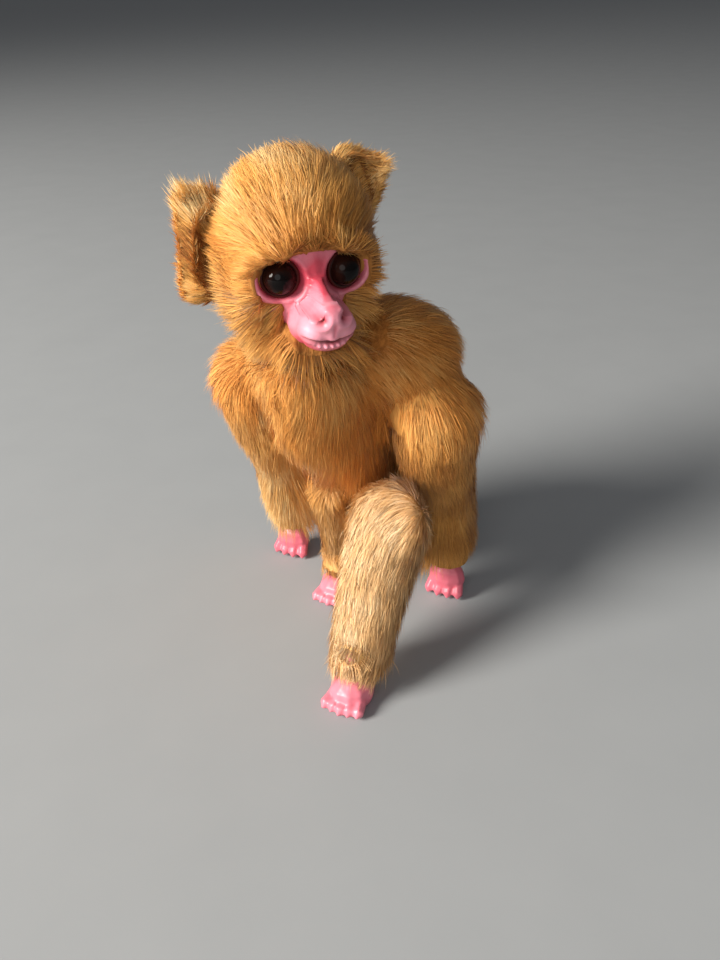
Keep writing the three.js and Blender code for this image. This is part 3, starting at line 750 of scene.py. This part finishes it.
# ---- Face ---------------------------------------------------------------------------------
# The face is one soft pink moulding pushed through the opening of the crown piece: brow,
# eye sockets, a blunt snout with two nostrils, and a wide mouth with small teeth.
vinyl_tree, vinyl_in, vinyl_out = group_of(
    "soft_moulding",
    [("Pink", "NodeSocketColor", (0.85, 0.33, 0.4, 1)), ("Rose", "NodeSocketColor", (0.5, 0.09, 0.11, 1)),
     ("Shade brown", "NodeSocketColor", (0.12, 0.02, 0.015, 1)), ("Rose paint and shade", "NodeSocketFloat", 0.0),
     ("Groove shade", "NodeSocketFloat", 0.0), ("Mottle", "NodeSocketFloat", 260.0)],
    [("Color", "NodeSocketColor"), ("Roughness", "NodeSocketFloat"), ("Height", "NodeSocketFloat")])
where = node(vinyl_tree, "TexCoord")
mottle = node(vinyl_tree, "TexNoise", {"Detail": 5.0, "Roughness": 0.6})
vinyl_tree.links.new(where.outputs["Object"], mottle.inputs["Vector"])
vinyl_tree.links.new(vinyl_in.outputs["Mottle"], mottle.inputs["Scale"])
uneven = ranged(vinyl_tree, mottle.outputs[0], 0.35, 0.75, 0.0, 0.30)
# The rose mix: rose paint where the moulding is tinted, painted shade in its dents and grooves.
flush = sum_of(vinyl_tree, vinyl_in.outputs["Rose paint and shade"], uneven)
pinked = mixed(vinyl_tree, flush, vinyl_in.outputs["Pink"], vinyl_in.outputs["Rose"])
# The dark brown mix: painted shade in the deepest slits, dents and grooves.
soiled = mixed(vinyl_tree, vinyl_in.outputs["Groove shade"], pinked, vinyl_in.outputs["Shade brown"])
vinyl_tree.links.new(soiled, vinyl_out.inputs["Color"])
shine = ranged(vinyl_tree, mottle.outputs[0], 0.0, 1.0, 0.30, 0.48)
vinyl_tree.links.new(shine, vinyl_out.inputs["Roughness"])
pores = node(vinyl_tree, "TexNoise", {"Scale": 2600.0, "Detail": 2.0})
vinyl_tree.links.new(where.outputs["Object"], pores.inputs["Vector"])
vinyl_tree.links.new(pores.outputs[0], vinyl_out.inputs["Height"])


ROSE = (0.62, 0.07, 0.11, 1)
SHADE_BROWN = (0.10, 0.018, 0.012, 1)


def pink_finish(name, pink):
    return finish_with(
        name, vinyl_tree, {"Pink": pink, "Rose": ROSE, "Shade brown": SHADE_BROWN, "Rose paint and shade": "hollow", "Groove shade": "soil"},
        bump=0.25, bump_depth=0.06 * MM)


def marked(mesh, **masks):
    for label, values in masks.items():
        held = mesh.attributes.new(label, "FLOAT", "POINT")
        held.data.foreach_set("value", np.asarray(values).clip(0, 1).astype(np.float32))


def add_lump(shape, centre, half, turn=0.0):
    """Adds an ellipsoid of clay to a bmesh, in head space."""
    lump = bmesh.new()
    bmesh.ops.create_icosphere(lump, subdivisions=4, radius=1.0)
    for vert in lump.verts:
        across, back, up = vert.co.x * half[0], vert.co.y * half[1], vert.co.z * half[2]
        vert.co = Vector(from_head([
            centre[0] + across,
            centre[1] + back * math.cos(turn) - up * math.sin(turn),
            centre[2] + back * math.sin(turn) + up * math.cos(turn)]))
    mesh = bpy.data.meshes.new("lump")
    lump.to_mesh(mesh)
    lump.free()
    shape.from_mesh(mesh)
    bpy.data.meshes.remove(mesh)


snout_tip = head_space(places(nodes["face_mask"].data))[:, 1].min()
clay = bmesh.new()
clay.from_mesh(nodes["face_mask"].data)
for vert in clay.verts:
    back = head_space(np.array(vert.co)[None])[0, 1] / MM
    vert.co.z += 1.8 * MM * eased(np.float64(-back), 15.0, 18.5)
for centre, half, turn in (
        ((0, 8.4, 1.8), (4.7, 6.4, 2.9), 0.42),
        ((0, 3.4, -0.8), (4.4, 2.9, 3.2), 0.0),
        ((2.4, 6.6, -3.4), (3.6, 4.6, 3.2), 0.0),
        ((-2.4, 6.6, -3.4), (3.6, 4.6, 3.2), 0.0),
        ((0, 7.8, -5.8), (4.8, 5.0, 2.6), 0.0)):
    centre = np.array((centre[0] * MM, snout_tip + centre[1] * MM, nose_z + centre[2] * MM))
    half = np.array(half) * MM
    add_lump(clay, centre, half, turn)
for sign in (-1, 1):
    add_lump(clay, np.array((sign * (eye_x + 1.1 * MM), eye_y + 1.5 * MM, eye_z - 0.3 * MM)),
             np.array((6.2, 5.2, 5.6)) * MM)
mesh = bpy.data.meshes.new("face")
clay.to_mesh(mesh)
clay.free()
face = piece_of("face", mesh)
remeshed(face, 0.27 * MM)
relaxed(face, 16)
settled(face)
skin, normals = places(face.data), places(face.data, "normal")
local = head_space(skin)
eye_gap = np.hypot(np.abs(local[:, 0]) - eye_x, local[:, 2] - eye_z) / MM
outward_turn = math.radians(14)
socket_floor = eye_y - (1.0 + 2.6 * eased(eye_gap, 3.9, 5.2)) * MM \
    + (np.abs(local[:, 0]) - eye_x) * math.tan(outward_turn)
local[:, 1] = np.where(eye_gap < 5.8, np.maximum(local[:, 1], socket_floor), local[:, 1])
moved_to(face.data, from_head(local))
relaxed(face, 8)
settled(face)
skin, normals = places(face.data), places(face.data, "normal")
local = head_space(skin)
across, back, up = local.T / MM
front = eased(-head_space(normals + neck)[:, 1], -0.1, 0.5)
nose_mm, eye_mm, tip_mm = nose_z / MM, eye_z / MM, snout_tip / MM
nostril_gap = np.hypot(np.abs(across) - 2.5, (up - nose_mm + 0.1) * 0.85)
on_snout = eased(-back, -tip_mm - 6.5, -tip_mm - 3.0)
nostril = np.exp(-(nostril_gap / 0.95) ** 2) * on_snout
nostril_rim = np.exp(-((nostril_gap - 1.75) / 0.55) ** 2) * on_snout
lip_line = nose_mm - 5.4 + 0.035 * across ** 2
mouth = np.exp(-((up - lip_line) / 0.42) ** 2) * (1 - eased(np.abs(across), 5.4, 6.4)) * on_snout
teeth_row = np.exp(-((up - lip_line + 0.85) / 0.45) ** 2) * (1 - eased(np.abs(across), 3.0, 4.0)) * on_snout
teeth = teeth_row * np.cos(across * math.pi / 1.25) ** 2
philtrum = np.exp(-(across / 0.45) ** 2) * eased(up, nose_mm - 4.8, nose_mm - 3.6) \
    * (1 - eased(up, nose_mm - 1.6, nose_mm - 0.6)) * on_snout
socket_gap = np.hypot(np.abs(across) - eye_x / MM, up - eye_mm)
socket_rim = np.exp(-((socket_gap - 4.7) / 0.6) ** 2) * front
socket = (1 - eased(socket_gap, 3.6, 5.2)) * front
brow_mark = np.exp(-(across / 2.6) ** 2 - ((up - eye_mm - 0.5) / 3.6) ** 2) * front
depth = (-1.35 * nostril + 0.18 * nostril_rim - 0.75 * mouth + 0.45 * teeth - 0.22 * philtrum
         + 0.28 * socket_rim)
pitting = ripple(skin, 1.6 * MM, 61)
skin = skin + normals * ((depth + 0.06 * pitting) * MM)[:, None]
moved_to(face.data, skin)
# Rose paint between the eyes, off the snout and from the upper lip down; rose round the eyes, part paint and
# part painted shade of the sockets; rose as painted shade in the nostrils and the philtrum groove.
marked(face.data,
       hollow=0.95 * nostril + 0.9 * socket + brow_mark + 0.3 * (1 - on_snout) + 0.4 * philtrum
       + 0.5 * eased(-up, -nose_mm + 3.2, -nose_mm + 6.5) * (1 - teeth_row),
       # Dark brown as painted shade in the mouth slit and the deepest part of each nostril.
       soil=0.9 * mouth + 0.75 * nostril ** 2)
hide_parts("face_mask")
dressed(face, pink_finish("pink_face", (0.90, 0.36, 0.45, 1)), "head")

# ---- Eyes ---------------------------------------------------------------------------------
# Each eye is a domed black-brown button with a narrow red-brown flange, pressed in its
# socket from the front and polished to a wet gloss.
eye_tree, eye_in, eye_out = group_of(
    "eye_button",
    [("Pupil", "NodeSocketColor", (0.004, 0.003, 0.003, 1)),
     ("Iris", "NodeSocketColor", (0.02, 0.006, 0.004, 1)),
     ("Edge", "NodeSocketColor", (0.10, 0.014, 0.012, 1)), ("Outward", "NodeSocketFloat", 0.0)],
    [("Color", "NodeSocketColor"), ("Roughness", "NodeSocketFloat")])
iris_edge = ranged(eye_tree, eye_in.outputs["Outward"], 0.35, 0.7)
flange_edge = ranged(eye_tree, eye_in.outputs["Outward"], 0.84, 0.97)
iris = mixed(eye_tree, iris_edge, eye_in.outputs["Pupil"], eye_in.outputs["Iris"])
rimmed = mixed(eye_tree, flange_edge, iris, eye_in.outputs["Edge"])
eye_tree.links.new(rimmed, eye_out.inputs["Color"])
eye_rough = ranged(eye_tree, eye_in.outputs["Outward"], 0.8, 1.0, 0.05, 0.3)
eye_tree.links.new(eye_rough, eye_out.inputs["Roughness"])
eye_finish = finish_with("black_eye", eye_tree, {"Outward": "outward"}, specular=0.09, coat=0.07,
                         coat_roughness=0.05)
DOME = [(0.0, -3.5), (0.6, -3.45), (1.2, -3.28), (1.8, -2.98), (2.35, -2.55), (2.85, -1.95), (3.2, -1.25),
        (3.38, -0.75), (3.46, -0.55), (3.75, -0.72), (4.0, -0.55), (4.05, -0.2), (3.9, 0.2), (3.3, 0.9),
        (2.0, 1.2), (0.0, 1.3)]
EYE_RADIUS = 4.05
eye_sides = 64
for side, sign in (("right", -1), ("left", 1)):
    centre = np.array((sign * eye_x, eye_y - 1.3 * MM, eye_z))
    ring = np.arange(eye_sides) * 2 * math.pi / eye_sides
    points, faces, outward = [], [], []
    for radius, reach in DOME:
        if radius == 0:
            points.append(centre + np.array((0, reach, 0)) * MM)
            outward.append(0.0)
        else:
            for angle in ring:
                rim_point = (radius * math.cos(angle), reach, radius * math.sin(angle))
                points.append(centre + np.array(rim_point) * MM)
                outward.append(radius / EYE_RADIUS)
    last = len(points) - 1
    for k in range(eye_sides):
        after = (k + 1) % eye_sides
        faces.append((0, 1 + after, 1 + k))
        for row in range(len(DOME) - 3):
            a, b = 1 + row * eye_sides, 1 + (row + 1) * eye_sides
            faces.append((a + k, a + after, b + after, b + k))
        end = 1 + (len(DOME) - 3) * eye_sides
        faces.append((end + k, end + after, last))
    mesh = bpy.data.meshes.new(f"eye_button_{side}")
    turned = Matrix.Rotation(sign * outward_turn, 3, "Z")
    points = [centre + np.array(turned @ Vector(p - centre)) for p in points]
    mesh.from_pydata([tuple(p) for p in from_head(points)], [], faces)
    mesh.update()
    mesh.shade_smooth()
    marked(mesh, outward=outward)
    button = piece_of(f"eye_button_{side}", mesh)
    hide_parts(f"eye_{side}")
    dressed(button, eye_finish, "head")

# ---- Hands and feet -------------------------------------------------------------------------
# Hands and feet are pink mouldings with four grooved fingers or toes and a thumb. Each is
# pegged in the end of its limb, with the pelt's edge glued round the wrist or ankle.
for limb, part in (("arm_right", "hand_right"), ("arm_left", "hand_left"),
                   ("leg_right", "foot_right"), ("leg_left", "foot_left")):
    paw = skinned(f"{part}_moulding", [part], grain=0.28 * MM, passes=10)
    skin, normals = places(paw.data), places(paw.data, "normal")
    rounded = paw.copy()
    rounded.data = paw.data.copy()
    scene.collection.objects.link(rounded)
    relaxed(rounded, 40)
    settled(rounded)
    groove_depth = 0.35 * MM
    hollow = ((places(rounded.data) - skin) * normals).sum(axis=1) / groove_depth
    bpy.data.objects.remove(rounded)
    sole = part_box(part)[0].z
    skin = skin + normals * (0.08 * ripple(skin, 1.6 * MM, 71) * MM)[:, None]
    skin[:, 2] = np.maximum(skin[:, 2], sole)
    moved_to(paw.data, skin)
    # The grooves are painted: rose as painted shade along them, and dark brown as painted shade in the
    # deepest.
    marked(paw.data, hollow=0.9 * eased(hollow, 0.05, 1.0), soil=0.25 * eased(hollow, 0.7, 1.6))
    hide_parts(part)
    pink = (0.82, 0.23, 0.30, 1) if "foot" in part else (0.72, 0.16, 0.22, 1)
    dressed(paw, pink_finish(f"pink_{part}", pink), limb)

# ---- Moulded body, limb cores and neck peg ------------------------------------------------
# The parts under the pelts are hollow mouldings in dull cream plastic, glued along a front
# and back seam. The neck peg is the same plastic and turns in the body's collar.
cream_tree, cream_in, cream_out = group_of(
    "cream_moulding",
    [("Cream", "NodeSocketColor", (0.62, 0.5, 0.36, 1)), ("Stain", "NodeSocketColor", (0.4, 0.26, 0.13, 1))],
    [("Color", "NodeSocketColor"), ("Roughness", "NodeSocketFloat"), ("Height", "NodeSocketFloat")])
where = node(cream_tree, "TexCoord")
glue = node(cream_tree, "TexNoise", {"Scale": 110.0, "Detail": 6.0, "Roughness": 0.65})
grit = node(cream_tree, "TexNoise", {"Scale": 1800.0, "Detail": 2.0})
for cloud in (glue, grit):
    cream_tree.links.new(where.outputs["Object"], cloud.inputs["Vector"])
stain = ranged(cream_tree, glue.outputs[0], 0.48, 0.72)
creamed = mixed(cream_tree, stain, cream_in.outputs["Cream"], cream_in.outputs["Stain"])
cream_tree.links.new(creamed, cream_out.inputs["Color"])
cream_rough = ranged(cream_tree, glue.outputs[0], 0.0, 1.0, 0.45, 0.75)
cream_tree.links.new(cream_rough, cream_out.inputs["Roughness"])
cream_tree.links.new(grit.outputs[0], cream_out.inputs["Height"])
cream_finish = finish_with("cream_plastic", cream_tree, {}, bump=0.2)
for name in ("torso_front_shell", "torso_back_shell", "head_front_shell", "head_back_shell", "neck_peg",
             "arm_right_core", "arm_left_core", "leg_right_core", "leg_left_core"):
    nodes[name].data.materials.clear()
    nodes[name].data.materials.append(cream_finish)

# ---- Cross rods -----------------------------------------------------------------------------
# Two drawn steel rods cross the body and carry the limbs, one through the shoulders and one
# through the hips. They are bright, with fine drawing marks along them.
rod_tree, rod_in, rod_out = group_of(
    "drawn_steel",
    [("Steel", "NodeSocketColor", (0.56, 0.56, 0.57, 1)),
     ("Tarnish", "NodeSocketColor", (0.3, 0.27, 0.24, 1))],
    [("Color", "NodeSocketColor"), ("Roughness", "NodeSocketFloat"), ("Height", "NodeSocketFloat")])
where = node(rod_tree, "TexCoord")
drawn = node(rod_tree, "Mapping", {"Scale": (0.05, 1.0, 1.0)})
rod_tree.links.new(where.outputs["Object"], drawn.inputs["Vector"])
lines = node(rod_tree, "TexNoise", {"Scale": 2600.0, "Detail": 3.0})
rod_tree.links.new(drawn.outputs[0], lines.inputs["Vector"])
steeled = mixed(rod_tree, lines.outputs[0], rod_in.outputs["Steel"], rod_in.outputs["Tarnish"])
rod_tree.links.new(steeled, rod_out.inputs["Color"])
rod_rough = ranged(rod_tree, lines.outputs[0], 0.0, 1.0, 0.22, 0.42)
rod_tree.links.new(rod_rough, rod_out.inputs["Roughness"])
rod_tree.links.new(lines.outputs[0], rod_out.inputs["Height"])
rod_finish = finish_with("drawn_steel", rod_tree, {}, bump=0.15)
rod_finish.node_tree.nodes["Principled BSDF"].inputs["Metallic"].default_value = 1.0
for name in ("shoulder_rod", "hip_rod"):
    nodes[name].data.materials.clear()
    nodes[name].data.materials.append(rod_finish)

# ---- Floor, light and camera ----------------------------------------------------------------
# A plain grey table top, one large soft lamp on the figure's right and a little in front, a
# weak fill and a dim room. The camera looks down from in front, a little to its left.
floor_reach = 30.0
bpy.ops.mesh.primitive_plane_add(size=floor_reach)
table_top = bpy.context.object
table_top.name = "table_top"
paper_tree, paper_in, paper_out = group_of(
    "table_paper",
    [("Paper", "NodeSocketColor", (0.37, 0.385, 0.40, 1)),
     ("Shade", "NodeSocketColor", (0.34, 0.355, 0.37, 1))],
    [("Color", "NodeSocketColor"), ("Roughness", "NodeSocketFloat")])
where = node(paper_tree, "TexCoord")
fibre = node(paper_tree, "TexNoise", {"Scale": 40.0, "Detail": 6.0})
paper_tree.links.new(where.outputs["Object"], fibre.inputs["Vector"])
paper = mixed(paper_tree, fibre.outputs[0], paper_in.outputs["Paper"], paper_in.outputs["Shade"])
paper_tree.links.new(paper, paper_out.inputs["Color"])
paper_rough = ranged(paper_tree, fibre.outputs[0], 0.0, 1.0, 0.8, 0.95)
paper_tree.links.new(paper_rough, paper_out.inputs["Roughness"])
table_top.data.materials.append(finish_with("pale_paper", paper_tree, {}, specular=0.2))

yaw, pitch, roll = math.radians(27), math.radians(31), math.radians(2.5)
right = Vector((math.cos(yaw), math.sin(yaw), 0))
ahead = Vector((-math.sin(yaw) * math.cos(pitch), math.cos(yaw) * math.cos(pitch), -math.sin(pitch)))
above = right.cross(ahead)
camera = bpy.data.objects.new("camera", bpy.data.cameras.new("camera"))
scene.collection.objects.link(camera)
camera.data.lens = 31.875
camera.data.sensor_width = 36.0
camera.data.clip_start = 0.01
camera.data.clip_end = 60.0
across = right * math.cos(roll) - above * math.sin(roll)
vertical = above * math.cos(roll) + right * math.sin(roll)
camera_at = (0.0892, -0.1798, 0.150)
camera.matrix_world = Matrix((
    (across.x, vertical.x, -ahead.x, camera_at[0]),
    (across.y, vertical.y, -ahead.y, camera_at[1]),
    (across.z, vertical.z, -ahead.z, camera_at[2]),
    (0, 0, 0, 1)))
scene.camera = camera

level = Vector((ahead.x, ahead.y, 0)).normalized()
target = (cad_box[0] + cad_box[1]) / 2


def lamp(name, offset, size, power, colour):
    light = bpy.data.lights.new(name, "AREA")
    light.shape = "DISK"
    light.size = size
    light.energy = power
    light.color = colour
    held = bpy.data.objects.new(name, light)
    scene.collection.objects.link(held)
    held.location = target + offset
    held.rotation_mode = "QUATERNION"
    held.rotation_quaternion = (-offset).to_track_quat("-Z", "Y")


lamp("key", -right * 1.30 - level * 0.62 + Vector((0, 0, 0.74)), size=0.75, power=54.0,
     colour=(1.0, 0.95, 0.87))
lamp("fill", -right * 0.2 - level * 1.3 + Vector((0, 0, 0.55)), size=1.0, power=5.0,
     colour=(1.0, 0.98, 0.95))
room = bpy.data.worlds.new("room")
room.use_nodes = True
room.node_tree.nodes["Background"].inputs["Color"].default_value = (0.92, 0.93, 0.95, 1)
room.node_tree.nodes["Background"].inputs["Strength"].default_value = 0.16
scene.world = room
scene.view_settings.view_transform = "Standard"
